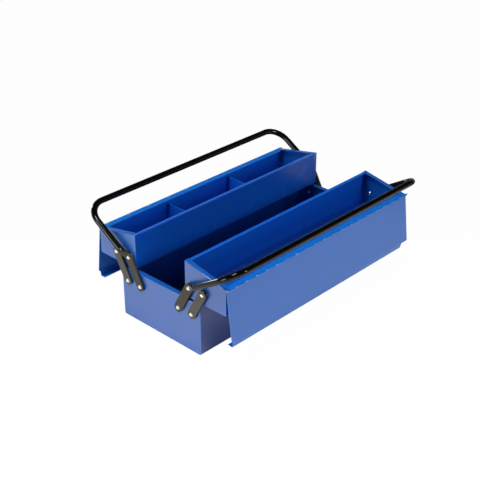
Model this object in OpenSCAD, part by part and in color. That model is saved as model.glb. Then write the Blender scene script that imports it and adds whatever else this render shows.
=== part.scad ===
// Portable steel tool box with two trays that swing outwards on parallel links.
// It stands open: both trays are out at their stops and both lids hang down outside.
// X runs along the box, Y across it and Z up. The origin is under the middle of the base.
// Tray and lid pieces are drawn where they sit in the shut box, then moved to the open place.

/* [Base] */
// Length of the base over its end panels
body_l = 430; // [320:5:560]
// Width of the base over its long walls
body_w = 172; // [150:1:220]
// Height of the base
body_h = 88; // [75:1:120]
// Thickness of the sheet steel
sheet_t = 0.8; // [0.6:0.1:1.2]
// Outer radius of the folds along the bottom of the base
base_fold_r = 3; // [2:0.5:6]
// Width of the rim folded inwards along each long wall of the base
base_rim_w = 6; // [4:0.5:10]

/* [Trays] */
// Height of a tray at the wall that meets the other tray
tray_in_h = 60; // [50:1:75]
// Height of a tray at the hinge of its lid
tray_out_h = 43.4; // [36:0.2:48]
// How far a tray stops short of the base at each end
tray_inset = 1.5; // [1:0.5:6]
// Space between the walls of the two shut trays
mid_gap = 9; // [5:0.5:12]
// How far a shut tray stands out past the side of the base
tray_over = 1.5; // [0:0.1:3]
// Height of a shut tray above the rim of the base
seat_gap = 1.5; // [0.4:0.1:3]
// Outer radius of the folds along the bottom of a tray
tray_fold_r = 2; // [1.5:0.5:4]
// Width of the rim along the inner wall of a tray
wall_rim_w = 5.5; // [4:0.5:8]
// Width of the rim under the hinge
hinge_rim_w = 7; // [5:0.5:10]

/* [End panels] */
// Width of the rim folded inwards along the top of an end panel
end_rim_w = 8; // [5:0.5:12]
// Outer radius of the folds along all rims
rim_r = 1.6; // [1.3:0.1:2.4]
// Width of the tabs that join an end panel to the walls
tab_w = 10; // [6:1:16]
// Space left between a tab and the next fold
tab_gap = 5; // [3:1:8]
// Clearance between two rims where they meet at a corner
rim_notch = 1; // [0.5:0.5:3]

/* [Dividers] */
// Share of the left tray's length in each of its end bays
end_bay_share = 0.333; // [0.2:0.001:0.42]
// Height of a divider above the underside of the tray
divider_h = 35; // [25:1:40]
// Width of the tabs of a divider
divider_tab_w = 6; // [4:1:10]
// Number of bays that the pressed pairs of ribs mark out
rib_bays = 5; // [4:1:7]
// Distance between the two ribs of a pair
rib_pitch = 4; // [3:0.5:6]
// Radius of a rib
rib_r = 0.8; // [0.5:0.1:1.2]
// Height of a rib
rib_h = 14; // [8:1:20]
// Height of the foot of a rib above the underside of the tray
rib_foot = 6; // [4:1:10]

/* [Links] */
// Distance of the inner base pivots from the middle
pivot_y = 42.3; // [40:0.1:46]
// Distance between the two pivots of a side
pivot_pitch = 28.1; // [25:0.1:32]
// Height of the base pivots
pivot_z = 67.7; // [55:0.1:72]
// Distance between the two pivots of a link
link_c = 49; // [45:0.5:54]
// Width of a link
link_w = 15; // [12:0.5:16]
// Thickness of a link
link_t = 3; // [2:0.5:4]
// Space between an end of the base and the links
link_gap = 0.8; // [0.6:0.1:2]
// Outward lean of the links with the trays out
lean_open = 28.8; // [24:0.2:32]
// Inward lean of the links with the trays shut
lean_shut = 32.4; // [28:0.1:38]

/* [Handles] */
// Diameter of the rod
rod_d = 10; // [6:0.5:12]
// Distance from the tray pivot to the grip
grip_reach = 107.2; // [90:0.2:125]
// Angle between the flat end and the arm
grip_angle = 29.8; // [26:0.2:34]
// Radius of the corners of the rod, at its middle line
grip_r = 31; // [14:1:40]
// Length over which the flat end grows back to a rod
flat_run = 18; // [14:1:26]
// How far the round rod stands outside the inner face of the flat end
rod_step = 0.3; // [0.2:0.1:1]

/* [Rivets] */
// Diameter of a rivet shank
rivet_d = 4; // [3:0.5:5]
// Diameter of the outer head
rivet_head_d = 7; // [6:0.5:9]
// Height of the outer head
rivet_head_h = 2.2; // [1.2:0.1:3]
// Diameter of the head inside the box
rivet_tail_d = 6.4; // [5.5:0.1:8]
// Height of the head inside the box
rivet_tail_h = 1.8; // [1:0.1:2.5]
// Diameter of the spacers behind the links
spacer_d = 10; // [8:0.5:12]
// Radial clearance of all turning fits
fit_c = 0.05; // [0.02:0.01:0.08]
// Side play of a link between its rivet head and its spacer
side_play = 0.15; // [0.1:0.05:0.3]

/* [Lids and hinges] */
// Diameter of the hinge wire
wire_d = 2; // [1.6:0.2:3]
// Number of hinge knuckles, tray and lid together
knuckle_n = 20; // [10:2:28]
// Length of the first knuckle at the near end
knuckle_first = 13.8; // [8:0.2:24]
// Gap between two knuckles
knuckle_gap = 0.6; // [0.4:0.1:1]
// Gap between the knuckles and the tray wall
hinge_gap = 0.3; // [0.3:0.1:1]
// How far the wire sits below the top of the tray wall
wire_drop = 1.2; // [0.6:0.1:1.6]
// How far the wire stands out at the far end
wire_out = 3.5; // [1:0.5:6]
// Outward lean of a hanging lid
lid_hang = 7.2; // [4:0.2:12]
// Distance from the middle to the nearest part of a shut lid
lid_edge = 0.4; // [0.3:0.1:2.5]
// Gap between a shut lid and the rims of its tray
lid_seat = 0.2; // [0.1:0.1:0.5]
// Radius of the free corners of a lid
lid_corner_r = 2.5; // [1:0.5:3]
// Width of the brim that rises along the free edge of a shut lid
brim_w = 7.5; // [5:0.5:12]
// Slant of the brim against the lid
brim_slant = 20; // [5:1:30]
// Height of the lip that stands on the brim
lip_h = 9.5; // [5:0.5:14]
// Angle between the brim and the lip
lip_angle = 82; // [70:1:90]
// Distance of the brim and the lip from the near end of the lid
brim_near = 3; // [3:0.5:20]
// Distance of the brim and the lip from the far end of the lid
brim_far = 16; // [3:0.5:20]

/* [Hidden] */
$fn = 48;
// Overrun of a cut past the face that it opens
cut = 1;

// Places of the shut left tray
tray_l = body_l - 2 * tray_inset;
tray_y0 = mid_gap / 2;
tray_y1 = body_w / 2 + tray_over;
tray_z0 = body_h + seat_gap;
tray_slope = atan((tray_in_h - tray_out_h) / (tray_y1 - tray_y0));
tray_pivot_y = pivot_y - link_c * sin(lean_shut);
tray_pivot_z = pivot_z + link_c * cos(lean_shut);
notch_l = end_rim_w + rim_notch;

// Travel of a tray from shut to open
open_dy = link_c * (sin(lean_open) + sin(lean_shut));
open_dz = link_c * (cos(lean_open) - cos(lean_shut));

// Links and handles, given at the far end of the box
link_in = body_l / 2 + link_gap;
link_out = link_in + link_t;
rod_x = link_in + rod_step + rod_d / 2;
bore_r = rivet_d / 2 + fit_c;
arm_lean = lean_open + grip_angle;
open_pivot_y = pivot_y + link_c * sin(lean_open);
open_pivot_z = pivot_z + link_c * cos(lean_open);

// Hinge and lid, given for the shut left tray
wire_r = wire_d / 2;
knuckle_r = wire_r + fit_c + sheet_t;
wire_y = tray_y1 + hinge_gap + knuckle_r;
wire_z = tray_z0 + tray_out_h - wire_drop;
knuckle_pitch = (tray_l - knuckle_first) / (knuckle_n - 1);
lid_notch = knuckle_r + hinge_gap;
lid_lift = lid_seat + wire_drop * cos(tray_slope) - (wire_y - tray_y1) * sin(tray_slope);
brim_run = brim_w * cos(tray_slope + brim_slant) + rim_r;
lid_w = (wire_y - lid_edge - brim_run + (lid_lift + rim_r) * sin(tray_slope)) / cos(tray_slope);

enamel = [0.05, 0.24, 0.60];
black_lacquer = [0.06, 0.06, 0.06];
link_lacquer = [0.21, 0.20, 0.16];
bright_steel = [0.78, 0.78, 0.76];

// A flat outline in Y and Z, drawn out along X about the middle
module along_x(length) {
    rotate([90, 0, 90])
        linear_extrude(height = length, center = true)
            children();
}

// A flat outline in Y and Z, drawn out along X from a given place
module plate_x(x, thickness) {
    translate([x, 0, 0])
        rotate([90, 0, 90])
            linear_extrude(height = thickness)
                children();
}

// A flat outline in X and Z, drawn out along Y about the middle
module along_y(length) {
    rotate([90, 0, 0])
        linear_extrude(height = length, center = true)
            children();
}

// A round bar along X between two places
module bar_x(x0, x1, r) {
    translate([x0, 0, 0])
        rotate([0, 90, 0])
            cylinder(h = x1 - x0, r = r);
}

// What is drawn for the left side, put on the right side
module on_right() {
    mirror([0, 1, 0])
        children();
}

// What is drawn for the far end, put at the near end
module at_near() {
    mirror([1, 0, 0])
        children();
}

// What is drawn on the shut left tray, moved to where the open tray is
module tray_open() {
    translate([0, open_dy, open_dz])
        children();
}

// Outline of a panel with rounded lower corners
module panel(y0, y1, z0, z1, r) {
    translate([y0, z0 + r])
        square([y1 - y0, z1 - z0 - r]);
    translate([y0 + r, z0])
        square([y1 - y0 - 2 * r, r]);
    translate([y0 + r, z0 + r])
        circle(r);
    translate([y1 - r, z0 + r])
        circle(r);
}

// Outline of the sheet of a trough with rounded lower corners
module trough_sheet(y0, y1, z0, z1, r) {
    difference() {
        panel(y0, y1, z0, z1, r);
        panel(y0 + sheet_t, y1 - sheet_t, z0 + sheet_t, z1 + cut, r - sheet_t);
    }
}

// Outline of a fold of the sheet round the origin: the sheet comes down right of it, turns
// clockwise by an angle and carries on with what follows
module fold(angle) {
    translate([rim_r - sheet_t, 0])
        square([sheet_t, rim_r]);
    difference() {
        intersection() {
            circle(rim_r);
            translate([-rim_r, -rim_r])
                square([2 * rim_r, rim_r]);
            rotate(-angle)
                translate([-rim_r, 0])
                    square([2 * rim_r, rim_r]);
        }
        circle(rim_r - sheet_t);
    }
    rotate(-angle)
        children();
}

// Outline of the sheet after a fold
module after_fold(length) {
    translate([rim_r - sheet_t, -length])
        square([sheet_t, length]);
}

// How far the middle of the fold of a rim lies below the corner of its wall
function rim_drop(slope) = rim_r * (tan(slope) + 1 / cos(slope));

// Outline of a folded rim: the corner of its wall is at the origin, and the rim goes towards
// +X, level or with a slope downwards
module rim_fold(w, slope = 0) {
    translate([rim_r, -rim_drop(slope)])
        rotate(180)
            fold(90 + slope)
                after_fold(w - rim_r);
}

// Outline of a link or a flat end: a bar with round ends, from the origin along +Y
module bar_outline() {
    circle(d = link_w);
    translate([0, link_c])
        circle(d = link_w);
    translate([-link_w / 2, 0])
        square([link_w, link_c]);
}

// A domed rivet head standing on the origin, pointing along +Z
module dome(d, h) {
    sphere_r = (d * d / 4 + h * h) / (2 * h);
    rotate_extrude()
        intersection() {
            translate([0, h - sphere_r])
                circle(sphere_r);
            square([d / 2, h]);
        }
}

// Base: a sheet folded into a trough, with rims along its long walls
module base_tub() {
    color(enamel) {
        along_x(body_l)
            trough_sheet(-body_w / 2, body_w / 2, 0, body_h - rim_r, base_fold_r);
        base_wall_top();
        on_right()
            base_wall_top();
    }
}

module base_wall_top() {
    along_x(body_l - 2 * notch_l)
        translate([body_w / 2, body_h])
            mirror([1, 0])
                rim_fold(base_rim_w);
    for (side = [-1, 1])
        translate([side * (body_l - notch_l) / 2, 0, 0])
            along_x(notch_l)
                translate([body_w / 2 - sheet_t, body_h - 2 * rim_r])
                    square([sheet_t, 2 * rim_r]);
}

// End panel of the base at the far end, with its rim, tabs and four rivet holes
module base_end() {
    half_w = body_w / 2 - sheet_t;
    tab_z = base_fold_r + tab_gap;
    color(enamel)
        difference() {
            union() {
                plate_x(body_l / 2 - sheet_t, sheet_t)
                    panel(-half_w, half_w, sheet_t, body_h - rim_r, base_fold_r - sheet_t);
                translate([body_l / 2, 0, body_h])
                    along_y(2 * half_w)
                        mirror([1, 0])
                            rim_fold(end_rim_w);
                for (side = [-1, 1])
                    translate([body_l / 2 - tab_w, side * half_w - (side + 1) / 2 * sheet_t, tab_z])
                        cube([tab_w, sheet_t, body_h - tab_z - notch_l]);
                translate([body_l / 2 - tab_w, -half_w + tab_z, sheet_t])
                    cube([tab_w, 2 * (half_w - tab_z), sheet_t]);
            }
            for (y = pivot_places(pivot_y), side = [-1, 1])
                translate([0, side * y, pivot_z])
                    bar_x(body_l / 2 - sheet_t - cut, body_l / 2 + cut, rivet_d / 2);
        }
}

// The inner and the outer pivot of one side
function pivot_places(y) = [y, y + pivot_pitch];

// One rivet at the far end: x is the outer face of the panel that it is closed on
module rivet(x) {
    bar_x(x - sheet_t, link_out + side_play, rivet_d / 2);
    translate([link_out + side_play, 0, 0])
        rotate([0, 90, 0])
            dome(rivet_head_d, rivet_head_h);
    translate([x - sheet_t, 0, 0])
        rotate([0, -90, 0])
            dome(rivet_tail_d, rivet_tail_h);
}

// One spacer at the far end, between the panel and its link
module spacer(x) {
    difference() {
        bar_x(x, link_in - side_play, spacer_d / 2);
        bar_x(x - cut, link_in + cut, rivet_d / 2);
    }
}

// The eight places of the base pivots
module at_base_pivots() {
    for (y = pivot_places(pivot_y), side = [-1, 1])
        translate([0, side * y, pivot_z]) {
            children();
            at_near()
                children();
        }
}

// The four places of the pivots of the left tray, in the shut box
module at_tray_pivots() {
    for (y = pivot_places(tray_pivot_y))
        translate([0, y, tray_pivot_z]) {
            children();
            at_near()
                children();
        }
}

module base_rivets() {
    color(bright_steel)
        at_base_pivots()
            rivet(body_l / 2);
}

module base_spacers() {
    color(bright_steel)
        at_base_pivots()
            spacer(body_l / 2);
}

// Tray: a sheet folded into a trough with a high inner wall and a low outer wall, in which
// pairs of ribs are pressed from outside
module tray_shell() {
    color(enamel)
        difference() {
            union() {
                tray_sheet();
                for (y = [tray_y0 + sheet_t, tray_y1 - sheet_t])
                    tray_ribs(y);
            }
            for (y = [tray_y0, tray_y1])
                tray_ribs(y);
        }
}

module tray_sheet() {
    in_z = tray_z0 + tray_in_h;
    in_fold_z = in_z - rim_drop(tray_slope);
    out_z = tray_z0 + tray_out_h - sheet_t;
    along_x(tray_l)
        difference() {
            trough_sheet(tray_y0, tray_y1, tray_z0, in_fold_z, tray_fold_r);
            translate([tray_y1 - sheet_t - cut, out_z - rim_r])
                square([sheet_t + 2 * cut, in_z - out_z + cut]);
        }
    along_x(tray_l - 2 * notch_l) {
        translate([tray_y0, in_z])
            rim_fold(wall_rim_w, tray_slope);
        translate([tray_y1, out_z])
            mirror([1, 0])
                rim_fold(hinge_rim_w);
    }
    for (side = [-1, 1])
        translate([side * (tray_l - notch_l) / 2, 0, 0])
            along_x(notch_l) {
                translate([tray_y0, in_fold_z - rim_r])
                    square([sheet_t, 2 * rim_r]);
                translate([tray_y1 - sheet_t, out_z - 2 * rim_r])
                    square([sheet_t, 2 * rim_r]);
            }
}

// The pressed ribs of a wall, as flattened round bars about one of its faces
module tray_ribs(y) {
    half_t = min(rib_r, sheet_t / 2);
    for (bay = [1 : rib_bays - 1], pair = [-1, 1])
        translate([tray_l * (bay / rib_bays - 1 / 2) + pair * rib_pitch / 2, y,
                   tray_z0 + rib_foot])
            intersection() {
                cylinder(h = rib_h, r = rib_r);
                translate([-rib_r, -half_t, 0])
                    cube([2 * rib_r, 2 * half_t, rib_h]);
            }
}

// End panel of the shut left tray at the far end
module tray_end() {
    y0 = tray_y0 + sheet_t;
    y1 = tray_y1 - sheet_t;
    rim_mid_y = (tray_y0 + tray_y1) / 2;
    rim_mid_z = tray_z0 + (tray_in_h + tray_out_h) / 2;
    tab_z = tray_z0 + tray_fold_r + tab_gap;
    color(enamel)
        difference() {
            union() {
                intersection() {
                    plate_x(tray_l / 2 - end_rim_w, end_rim_w)
                        panel(y0, y1, tray_z0 + sheet_t, tray_z0 + tray_in_h + cut,
                               tray_fold_r - sheet_t);
                    translate([tray_l / 2, rim_mid_y, rim_mid_z])
                        rotate([-tray_slope, 0, 0])
                            union() {
                                along_y(2 * tray_y1)
                                    mirror([1, 0])
                                        rim_fold(end_rim_w);
                                translate([-sheet_t, -tray_y1, -rim_r - 2 * tray_in_h])
                                    cube([sheet_t, 2 * tray_y1, 2 * tray_in_h]);
                            }
                }
                for (y = [y0, y1 - sheet_t])
                    translate([tray_l / 2 - tab_w, y, tab_z])
                        cube([tab_w, sheet_t, tray_z0 + tray_out_h - notch_l - tab_z]);
                translate([tray_l / 2 - tab_w, y0 + tab_gap, tray_z0 + sheet_t])
                    cube([tab_w, y1 - y0 - 2 * tab_gap, sheet_t]);
            }
            for (y = pivot_places(tray_pivot_y))
                translate([0, y, tray_pivot_z])
                    bar_x(tray_l / 2 - sheet_t - cut, tray_l / 2 + cut, rivet_d / 2);
        }
}

// Divider of the left tray at the end of its far bay, with a tab on each wall and on the floor
module divider() {
    y0 = tray_y0 + sheet_t;
    y1 = tray_y1 - sheet_t;
    z0 = tray_z0 + sheet_t;
    color(enamel)
        translate([tray_l * (1 / 2 - end_bay_share), 0, 0]) {
            plate_x(-sheet_t / 2, sheet_t)
                panel(y0, y1, z0, tray_z0 + divider_h, tray_fold_r - sheet_t);
            for (y = [y0, y1 - sheet_t])
                translate([-sheet_t / 2, y, z0 + tab_gap])
                    cube([divider_tab_w, sheet_t, divider_h - 2 * tab_gap]);
            translate([-sheet_t / 2, y0 + tab_gap, z0])
                cube([divider_tab_w, y1 - y0 - 2 * tab_gap, sheet_t]);
        }
}

module tray_rivets() {
    color(bright_steel)
        at_tray_pivots()
            rivet(tray_l / 2);
}

module tray_spacers() {
    color(bright_steel)
        at_tray_pivots()
            spacer(tray_l / 2);
}

// Short link of the left side at the far end
module strap() {
    color(link_lacquer)
        translate([0, pivot_y + pivot_pitch, pivot_z])
            difference() {
                plate_x(link_in, link_t)
                    rotate([0, 0, -lean_open])
                        bar_outline();
                link_bores();
            }
}

// The two bores of a link, with its lower pivot at the origin
module link_bores() {
    for (c = [0, link_c])
        translate([0, c * sin(lean_open), c * cos(lean_open)])
            bar_x(link_in - cut, link_out + cut, bore_r);
}

// Handle of the left side: one rod whose two flattened ends are links
module handle() {
    color(black_lacquer)
        translate([0, pivot_y, pivot_z])
            difference() {
                union() {
                    handle_half();
                    at_near()
                        handle_half();
                    translate([0, link_c * sin(lean_open), link_c * cos(lean_open)])
                        rotate([-arm_lean, 0, 0])
                            translate([0, 0, grip_reach])
                                bar_x(-rod_x + grip_r, rod_x - grip_r, rod_d / 2);
                }
                link_bores();
                at_near()
                    link_bores();
            }
}

// The far half of a handle without its grip, with its lower pivot at the origin
module handle_half() {
    flat_start = rivet_head_d / 2 + side_play;
    arm_l = grip_reach - grip_r;
    plate_x(link_in, link_t)
        rotate([0, 0, -lean_open])
            bar_outline();
    translate([0, link_c * sin(lean_open), link_c * cos(lean_open)])
        rotate([-arm_lean, 0, 0]) {
            intersection() {
                translate([rod_x, 0, 0])
                    cylinder(h = flat_run, r1 = link_w / 2, r2 = rod_d / 2);
                along_y(link_w)
                    polygon([[link_in + rod_step / 2, 0], [link_in + rod_step / 2, flat_run],
                             [rod_x + rod_d / 2 + rod_step, flat_run],
                             [link_out - rod_step / 2, flat_start], [link_out - rod_step / 2, 0]]);
            }
            translate([rod_x, 0, flat_run])
                cylinder(h = arm_l - flat_run, r = rod_d / 2);
            translate([rod_x - grip_r, 0, arm_l])
                rotate([90, 0, 0])
                    rotate_extrude(angle = 90)
                        translate([grip_r, 0])
                            circle(d = rod_d);
        }
}

// Where a knuckle starts, counted from the near end: even ones are the tray's and odd ones
// the lid's
function knuckle_start(i) = i == 0 ? 0 : knuckle_first + (i - 1) * knuckle_pitch;

// A flat outline in Y and Z, drawn out to the length of a knuckle
module knuckle(i) {
    place = knuckle_start(i) + knuckle_gap / 2;
    length = knuckle_start(i + 1) - knuckle_start(i) - knuckle_gap;
    plate_x(place - tray_l / 2, length)
        children();
}

// Tray half of the hinge: a strip that lies on the tray's rim and curls round the wire
module hinge_leaf() {
    top_z = tray_z0 + tray_out_h;
    color(enamel)
        difference() {
            union() {
                along_x(tray_l - 2 * notch_l)
                    translate([tray_y1 - hinge_rim_w, top_z - sheet_t])
                        square([hinge_rim_w, sheet_t]);
                along_x(tray_l)
                    translate([tray_y1 - sheet_t, top_z - sheet_t])
                        square([sheet_t, sheet_t]);
                for (i = [0 : 2 : knuckle_n - 1])
                    knuckle(i) {
                        translate([tray_y1 - sheet_t, top_z - sheet_t])
                            square([wire_y - tray_y1 + sheet_t, sheet_t]);
                        translate([wire_y, wire_z])
                            circle(knuckle_r);
                    }
            }
            translate([0, wire_y, wire_z])
                bar_x(-tray_l / 2 - cut, tray_l / 2 + cut, wire_r + fit_c);
        }
}

module hinge_wire() {
    color(bright_steel)
        translate([0, wire_y, wire_z])
            bar_x(-tray_l / 2, tray_l / 2 + wire_out, wire_r);
}

// Lid, hanging from the wire at the origin, with its own knuckles
module lid() {
    color(enamel)
        translate([0, wire_y, wire_z])
            rotate([lid_hang, 0, 0])
                difference() {
                    union() {
                        translate([0, -lid_lift - sheet_t / 2, 0])
                            along_y(sheet_t)
                                panel(-tray_l / 2, tray_l / 2, -lid_w, -lid_notch, lid_corner_r);
                        translate([(brim_near - brim_far) / 2, 0, 0])
                            along_x(tray_l - brim_near - brim_far)
                                lid_brim();
                        for (i = [1 : 2 : knuckle_n - 1])
                            knuckle(i) {
                                circle(knuckle_r);
                                translate([-lid_lift - sheet_t, -lid_notch - rim_r])
                                    square([sheet_t, lid_notch + rim_r]);
                            }
                    }
                    bar_x(-tray_l / 2 - cut, tray_l / 2 + cut, wire_r + fit_c);
                }
}

// Outline of the brim and the lip along the free edge of a hanging lid
module lid_brim() {
    translate([-lid_lift - rim_r, -lid_w])
        fold(brim_slant) {
            after_fold(brim_w);
            translate([0, -brim_w])
                fold(lip_angle)
                    after_fold(lip_h - rim_r);
        }
}

base_tub();
at_near() base_end();  // base_end_near
base_end();  // base_end_far
base_rivets();
base_spacers();

handle();  // left_handle
at_near() strap();  // left_strap_near
strap();  // left_strap_far
tray_open() tray_shell();  // left_tray
at_near() tray_open() tray_end();  // left_end_near
tray_open() tray_end();  // left_end_far
at_near() tray_open() divider();  // left_divider_near
tray_open() divider();  // left_divider_far
tray_open() tray_rivets();  // left_tray_rivets
tray_open() tray_spacers();  // left_tray_spacers
tray_open() hinge_leaf();  // left_hinge_leaf
tray_open() hinge_wire();  // left_hinge_wire
tray_open() lid();  // left_lid

on_right() handle();  // right_handle
on_right() at_near() strap();  // right_strap_near
on_right() strap();  // right_strap_far
on_right() tray_open() tray_shell();  // right_tray
on_right() at_near() tray_open() tray_end();  // right_end_near
on_right() tray_open() tray_end();  // right_end_far
on_right() tray_open() tray_rivets();  // right_tray_rivets
on_right() tray_open() tray_spacers();  // right_tray_spacers
on_right() tray_open() hinge_leaf();  // right_hinge_leaf
on_right() tray_open() hinge_wire();  // right_hinge_wire
on_right() tray_open() lid();  // right_lid
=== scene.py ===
# A portable steel tool box, open: both trays are swung out over the sides of the base, and
# both lids hang down outside them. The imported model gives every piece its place.
import math

import bmesh
import bpy
from mathutils import Matrix, Vector

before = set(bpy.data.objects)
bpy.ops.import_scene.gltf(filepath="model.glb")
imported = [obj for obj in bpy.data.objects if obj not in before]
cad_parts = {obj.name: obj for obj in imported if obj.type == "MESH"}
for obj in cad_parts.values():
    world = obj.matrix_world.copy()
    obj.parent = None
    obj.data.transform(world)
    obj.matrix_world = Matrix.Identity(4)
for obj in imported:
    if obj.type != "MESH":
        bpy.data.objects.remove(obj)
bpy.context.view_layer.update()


# The view: from the near right corner of the box, above its rims, through a long lens. The
# lens looks past the middle of the box, so that the box stands as far left as it should.
turn, tilt = math.radians(-46.42), math.radians(28.67)
distance = 1.67492
aim_across, aim_up, aim_height = -0.02796, -0.00074, 0.080
towards_lens = Vector((math.sin(turn) * math.cos(tilt), -math.cos(turn) * math.cos(tilt),
                       math.sin(tilt)))
across = Vector((math.cos(turn), math.sin(turn), 0))
upwards = towards_lens.cross(across)
aim = Vector((0, 0, aim_height)) + across * aim_across + upwards * aim_up
lens = bpy.data.cameras.new("long_lens")
lens.lens, lens.sensor_width = 76.65, 36
lens.clip_start, lens.clip_end = 0.1, 40
camera = bpy.data.objects.new("camera", lens)
camera.matrix_world = Matrix.Translation(aim + towards_lens * distance) @ Matrix(
    (across, upwards, towards_lens)).transposed().to_4x4()
bpy.context.scene.collection.objects.link(camera)
bpy.context.scene.camera = camera
bpy.context.scene.view_settings.view_transform = "Standard"


# The studio: a dark room with a paper floor, a soft and a small lamp overhead, and three low
# ones. The lens sees paper and room as white. Gloss does too, but for the room overhead, the
# paper under the box, where a painted shadow takes its glow away, and the paper past its far
# end, which is painted dark as painted shade.
class Value:
    """A shader socket that is worked with like a number."""

    def __init__(self, socket):
        self.socket = socket
        self.tree = socket.id_data

    def put(self, socket):
        self.tree.links.new(self.socket, socket)

    def work_out(self, operation, *terms):
        return node(self.tree, "ShaderNodeMath", {"operation": operation},
                    dict(enumerate(terms)))

    def __add__(self, other):
        return self.work_out("ADD", self, other)

    def __radd__(self, other):
        return self.work_out("ADD", other, self)

    def __sub__(self, other):
        return self.work_out("SUBTRACT", self, other)

    def __rsub__(self, other):
        return self.work_out("SUBTRACT", other, self)

    def __mul__(self, other):
        return self.work_out("MULTIPLY", self, other)

    def __rmul__(self, other):
        return self.work_out("MULTIPLY", other, self)


def node(tree, kind, settings, sockets, out=0):
    """Any node: its settings are set first, and then its sockets, by name or by order."""
    made = tree.nodes.new(kind)
    for name, setting in settings.items():
        setattr(made, name, setting)
    for name, value in sockets.items():
        if isinstance(value, Value):
            value.put(made.inputs[name])
        else:
            made.inputs[name].default_value = value
    return Value(made.outputs[out])


def bare_tree(owner):
    """The emptied node tree of a material or of the room."""
    owner.use_nodes = True
    owner.node_tree.nodes.clear()
    return owner.node_tree


def put_out(tree, surface, kind):
    """The finished shader goes to the output of its material or of the room."""
    surface.put(tree.nodes.new(kind).inputs["Surface"])


def place_on(tree):
    """The place on the object, in metres."""
    return node(tree, "ShaderNodeTexCoord", {}, {}, out="Object")


def height_of(tree, place):
    return node(tree, "ShaderNodeSeparateXYZ", {}, {"Vector": place}, out="Z")


def share(tree, value, none, full):
    """How far a value has come from where the share is none to where it is full."""
    return node(tree, "ShaderNodeMapRange", {"interpolation_type": "SMOOTHSTEP"},
                {"Value": value, "From Min": none, "From Max": full})


def between(tree, part, first, second):
    """The colour that lies some part of the way between two others."""
    return node(tree, "ShaderNodeMix", {"data_type": "RGBA"}, {0: part, 6: first, 7: second},
                out=2)


def vectors(tree, operation, first, second=(0, 0, 0), out="Vector"):
    return node(tree, "ShaderNodeVectorMath", {"operation": operation},
                {0: first, 1: second}, out=out)


def ray(tree, kind):
    """1 where the light path is of this kind, and 0 elsewhere."""
    return node(tree, "ShaderNodeLightPath", {}, {}, out=kind)


def seen_in_gloss(tree):
    return ray(tree, "Is Glossy Ray") + ray(tree, "Is Transmission Ray")


white = (1, 1, 1, 1)
paper = bpy.data.materials.new("white_paper")
tree = bare_tree(paper)
place = place_on(tree)
# Painted shade: past the far end of the box the paper is painted dark, and gloss sees no glow.
painted_far_shade = share(tree, vectors(tree, "DOT_PRODUCT", place, (1, 1, 0), out="Value"),
                none=0.12, full=0.26)
# Painted shadow under the box: gloss sees no glow there, only the lamp-lit paper.
half_length, half_width = 0.24, 0.17
box_widths = vectors(tree, "MULTIPLY", place, (1 / half_length, 1 / half_width, 0))
painted_shade_beneath = share(tree, vectors(tree, "LENGTH", box_widths, out="Value"),
                none=1.25, full=0.95)
glow_in_gloss, glow_in_all = 0.5, 0.985
seen = ray(tree, "Is Camera Ray") \
    + seen_in_gloss(tree) * (1 - painted_far_shade) * (1 - painted_shade_beneath) * glow_in_gloss
paper_and_far_shade = between(tree, painted_far_shade, (0.88, 0.88, 0.90, 1), (0.1, 0.1, 0.1, 1))
matt = node(tree, "ShaderNodeBsdfDiffuse", {}, {"Color": paper_and_far_shade})
glow = node(tree, "ShaderNodeEmission", {}, {"Color": white, "Strength": 1.0})
put_out(tree, node(tree, "ShaderNodeMixShader", {}, {0: seen * glow_in_all, 1: matt, 2: glow}),
        "ShaderNodeOutputMaterial")

floor_half, floor_drop = 6, 0.0002
floor_mesh = bpy.data.meshes.new("floor")
sheet = bmesh.new()
bmesh.ops.create_grid(sheet, x_segments=8, y_segments=8, size=floor_half)
bmesh.ops.translate(sheet, verts=sheet.verts, vec=(0, 0, -floor_drop))
sheet.to_mesh(floor_mesh)
sheet.free()
floor_mesh.materials.append(paper)
floor = bpy.data.objects.new("floor", floor_mesh)
bpy.context.scene.collection.objects.link(floor)

room = bpy.data.worlds.new("dark_room")
bpy.context.scene.world = room
tree = bare_tree(room)
direction = node(tree, "ShaderNodeTexCoord", {}, {}, out="Generated")
low_down = share(tree, height_of(tree, direction), none=0.14, full=0.06)
seen = ray(tree, "Is Camera Ray") + seen_in_gloss(tree) * low_down
backdrop = node(tree, "ShaderNodeBackground", {}, {"Color": white, "Strength": 1.0})
darkness = node(tree, "ShaderNodeBackground", {}, {"Color": (0.92, 0.96, 1, 1),
                                                   "Strength": 0.05})
put_out(tree, node(tree, "ShaderNodeMixShader", {}, {0: seen, 1: darkness, 2: backdrop}),
        "ShaderNodeOutputWorld")

lit_point = Vector((0, 0, 0.1))
for name, place, size, power, in_gloss in (
        ("overhead_lamp", (-0.4, 0.1, 1.9), 1.2, 24, False),
        ("spark_lamp", (-0.75, 0.1, 1.8), 0.5, 13, True),
        ("end_lamp", (-2.3, 0.5, 0.6), 1.0, 21, True),
        ("side_lamp", (0.4, -2.2, 1.25), 0.7, 24, True),
        ("back_lamp", (0.0, 2.6, 0.45), 0.5, 12, True)):
    glass = bpy.data.lights.new(name, "AREA")
    glass.shape, glass.size, glass.energy = "DISK", size, power
    lamp = bpy.data.objects.new(name, glass)
    lamp.location = place
    lamp.rotation_mode = "QUATERNION"
    lamp.rotation_quaternion = (Vector(place) - lit_point).to_track_quat("Z", "Y")
    lamp.visible_glossy = in_gloss
    bpy.context.scene.collection.objects.link(lamp)


# The base: one steel sheet folded up into a trough, with two end panels spot-welded in. It
# is sprayed and stoved in blue enamel, and a brighter blue is painted over the folds and
# edges as a painted highlight.
same_point, flat_bend, sharp_bend = 0.000005, math.radians(0.5), math.radians(38)


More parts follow.
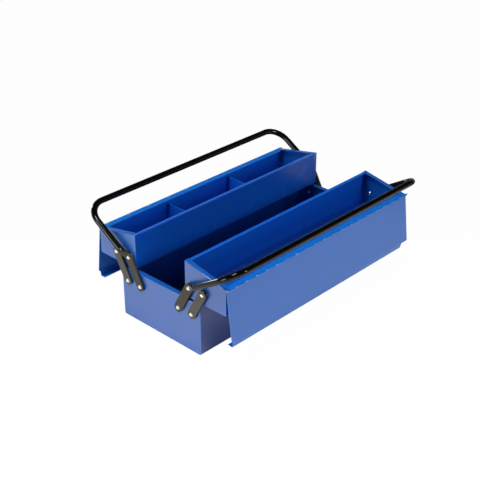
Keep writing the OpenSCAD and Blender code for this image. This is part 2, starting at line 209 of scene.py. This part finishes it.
def soften_edges(width, *names):
    """The small rounding that a punched and painted edge has."""
    for name in names:
        for kind, settings in (
                ("WELD", {"merge_threshold": same_point}),
                ("DECIMATE", {"decimate_type": "DISSOLVE", "angle_limit": flat_bend}),
                ("BEVEL", {"width": width, "segments": 2, "limit_method": "ANGLE",
                           "angle_limit": sharp_bend, "harden_normals": True})):
            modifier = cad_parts[name].modifiers.new(kind.lower(), kind)
            for setting, value in settings.items():
                setattr(modifier, setting, value)


def finish(material, *names):
    """The finish goes on each of the named pieces."""
    for name in names:
        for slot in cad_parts[name].material_slots:
            slot.material = material


def speckle(tree, place, scale, detail):
    return node(tree, "ShaderNodeTexNoise", {},
                {"Vector": place, "Scale": scale, "Detail": detail})


def bumpy(tree, height, strength, depth):
    return node(tree, "ShaderNodeBump", {},
                {"Height": height, "Strength": strength, "Distance": depth})


def scaled_colour(colour, strength=1):
    return (*(min(1, part * strength) for part in colour), 1)


def painted(name, colour, edge_colour, roughness, gloss, sheen_on_flats=None):
    """Paint on steel: cloudy and faintly streaked, with orange peel and worn edges. On the
    enamels the edge colour is a painted highlight; flats, where given, take a painted
    reflection.
    """
    cloud_tint, streak_tint, tint_reach = 0.10, 0.02, 0.14
    cloud_dulling, streak_dulling, wear_dulling, flats_dulling = 0.04, 0.015, 0.1, 0.26
    bend_reach, edge_colour_share, paint_ior = 0.0012, 0.7, 1.56
    material = bpy.data.materials.new(name)
    tree = bare_tree(material)
    place = place_on(tree)
    drawn = node(tree, "ShaderNodeMapping", {}, {"Vector": place, "Scale": (9, 90, 90)})
    cloud = speckle(tree, place, scale=14, detail=3) - 0.5
    streak = speckle(tree, drawn, scale=1, detail=4) - 0.5
    rounded = node(tree, "ShaderNodeBevel", {"samples": 4}, {"Radius": bend_reach})
    facing = node(tree, "ShaderNodeNewGeometry", {}, {}, out="Normal")
    bend = 1 - vectors(tree, "DOT_PRODUCT", rounded, facing, out="Value")
    on_edges = share(tree, bend, none=0.02, full=0.20)
    worn = share(tree, on_edges * speckle(tree, place, scale=260, detail=4),
                 none=0.56, full=0.64)
    tint = cloud * cloud_tint + streak * streak_tint + 0.5
    surface_colour = between(tree, tint, scaled_colour(colour, 1 - tint_reach), scaled_colour(colour, 1 + tint_reach))
    # The edges are painted in the edge colour: on the enamels a painted highlight, on the
    # lacquers wear.
    surface_colour = between(tree, on_edges * edge_colour_share, surface_colour, scaled_colour(edge_colour))
    dull = streak * streak_dulling + cloud * cloud_dulling + worn * wear_dulling + roughness
    # Flats painted in their own colour: a painted reflection.
    if sheen_on_flats:
        flats_sheen_colour, flats_below, rod_above = sheen_on_flats
        flat = share(tree, height_of(tree, place), none=rod_above, full=flats_below)
        surface_colour = between(tree, flat, surface_colour, scaled_colour(flats_sheen_colour))
        dull = dull + flat * flats_dulling
    peel = bumpy(tree, speckle(tree, place, scale=620, detail=1), strength=0.2,
                 depth=0.00004)
    paint = node(tree, "ShaderNodeBsdfPrincipled", {}, {
        "Base Color": surface_colour, "Roughness": dull, "Normal": peel,
        "Specular IOR Level": gloss, "IOR": paint_ior})
    put_out(tree, paint, "ShaderNodeOutputMaterial")
    return material


# The tub is painted a deeper blue than the end panels of the same enamel: painted shade.
blue, tub_shade_blue = (0.001, 0.078, 0.350), (0.0008, 0.036, 0.235)
# The edge blue is a painted highlight along the folds and edges.
edge_highlight_blue = (0.001, 0.290, 0.950)
sheet_edge = 0.0002
base_enamel = painted("base_enamel", blue, edge_highlight_blue, roughness=0.31, gloss=1.0)
tub_enamel_in_shade = painted("tub_enamel_in_shade", tub_shade_blue, edge_highlight_blue, roughness=0.31, gloss=1.0)
finish(base_enamel, "base_end_near", "base_end_far")
finish(tub_enamel_in_shade, "base_tub")
soften_edges(sheet_edge, "base_tub", "base_end_near", "base_end_far")


# The trays: each is a folded sheet with a high inner wall, closed by two end panels whose
# rims slope with the lid. Two loose dividers are spot-welded into the left one.
# The tray sheets and their end panels are one enamel painted in two blues, the end panels in
# the base's: the difference is painted light and shade, for how each faces the lamps.
tray_blue = (0.0004, 0.078, 0.460)
tray_enamel = painted("tray_enamel", tray_blue, edge_highlight_blue, roughness=0.31, gloss=0.9)
for side in ("left", "right"):
    finish(tray_enamel, f"{side}_tray")
    finish(base_enamel, f"{side}_end_near", f"{side}_end_far")
    soften_edges(sheet_edge, f"{side}_tray", f"{side}_end_near", f"{side}_end_far")
divider_enamel = painted("divider_enamel", tray_blue, edge_highlight_blue, roughness=0.31, gloss=0.9)
finish(divider_enamel, "left_divider_near", "left_divider_far")
soften_edges(sheet_edge, "left_divider_near", "left_divider_far")


# The lids and their hinges: flat sheet with a folded brim and lip along the free edge. The
# knuckles are rolled from the same sheet round a drawn wire, and painted with it.
# The lids are painted a lighter blue than the rest of the same enamel: painted light.
lit_lid_blue, lid_sheet_edge = (0.001, 0.114, 0.480), 0.00015
lid_enamel = painted("lid_enamel", lit_lid_blue, edge_highlight_blue, roughness=0.32, gloss=0.75)
for side in ("left", "right"):
    finish(lid_enamel, f"{side}_lid", f"{side}_hinge_leaf")
    soften_edges(lid_sheet_edge, f"{side}_lid", f"{side}_hinge_leaf")


# The handles and straps: round rod, bent at its corners, with both ends hammered flat, and
# short bars beside them. All are dipped in black lacquer; the greenish brown on the flats and
# the straps is a painted reflection of the floor in it.
black, worn_black = (0.0010, 0.0007, 0.0004), (0.02, 0.016, 0.01)
# The greenish brown of the flats and straps is a painted reflection in the black lacquer.
sheen_olive, worn_sheen_olive = (0.034, 0.027, 0.011), (0.12, 0.11, 0.08)
flats_below, rod_above = 0.1150, 0.1215
strap_edge = 0.0003
handle_lacquer = painted("handle_lacquer", black, worn_black, roughness=0.10, gloss=0.25,
                         sheen_on_flats=(sheen_olive, flats_below, rod_above))
link_lacquer = painted("link_lacquer", sheen_olive, worn_sheen_olive, roughness=0.42, gloss=0.55)
for side in ("left", "right"):
    finish(handle_lacquer, f"{side}_handle")
    finish(link_lacquer, f"{side}_strap_near", f"{side}_strap_far")
    soften_edges(strap_edge, f"{side}_strap_near", f"{side}_strap_far")


# The rivets, spacers and hinge wires: steel, headed or drawn, and left bare. Handling has
# stained them a little, and the tools have left fine scratches.
def bare_steel(name, colour, roughness):
    stain_darkening, stain_dulling = 0.2, 0.12
    material = bpy.data.materials.new(name)
    tree = bare_tree(material)
    place = place_on(tree)
    clean = speckle(tree, place, scale=420, detail=3)
    scratches = bumpy(tree, speckle(tree, place, scale=2600, detail=2), strength=0.3,
                      depth=0.00003)
    metal = node(tree, "ShaderNodeBsdfPrincipled", {}, {
        "Base Color": between(tree, clean, scaled_colour(colour, 1 - stain_darkening),
                              scaled_colour(colour)),
        "Roughness": (clean - 0.5) * stain_dulling + roughness,
        "Normal": scratches, "Metallic": 1.0})
    put_out(tree, metal, "ShaderNodeOutputMaterial")
    return material


bright_steel = bare_steel("bright_steel", (0.92, 0.89, 0.80), roughness=0.36)
wire_steel = bare_steel("hinge_wire", (0.80, 0.79, 0.76), roughness=0.40)
finish(bright_steel, "base_rivets", "base_spacers")
for side in ("left", "right"):
    finish(bright_steel, f"{side}_tray_rivets", f"{side}_tray_spacers")
    finish(wire_steel, f"{side}_hinge_wire")
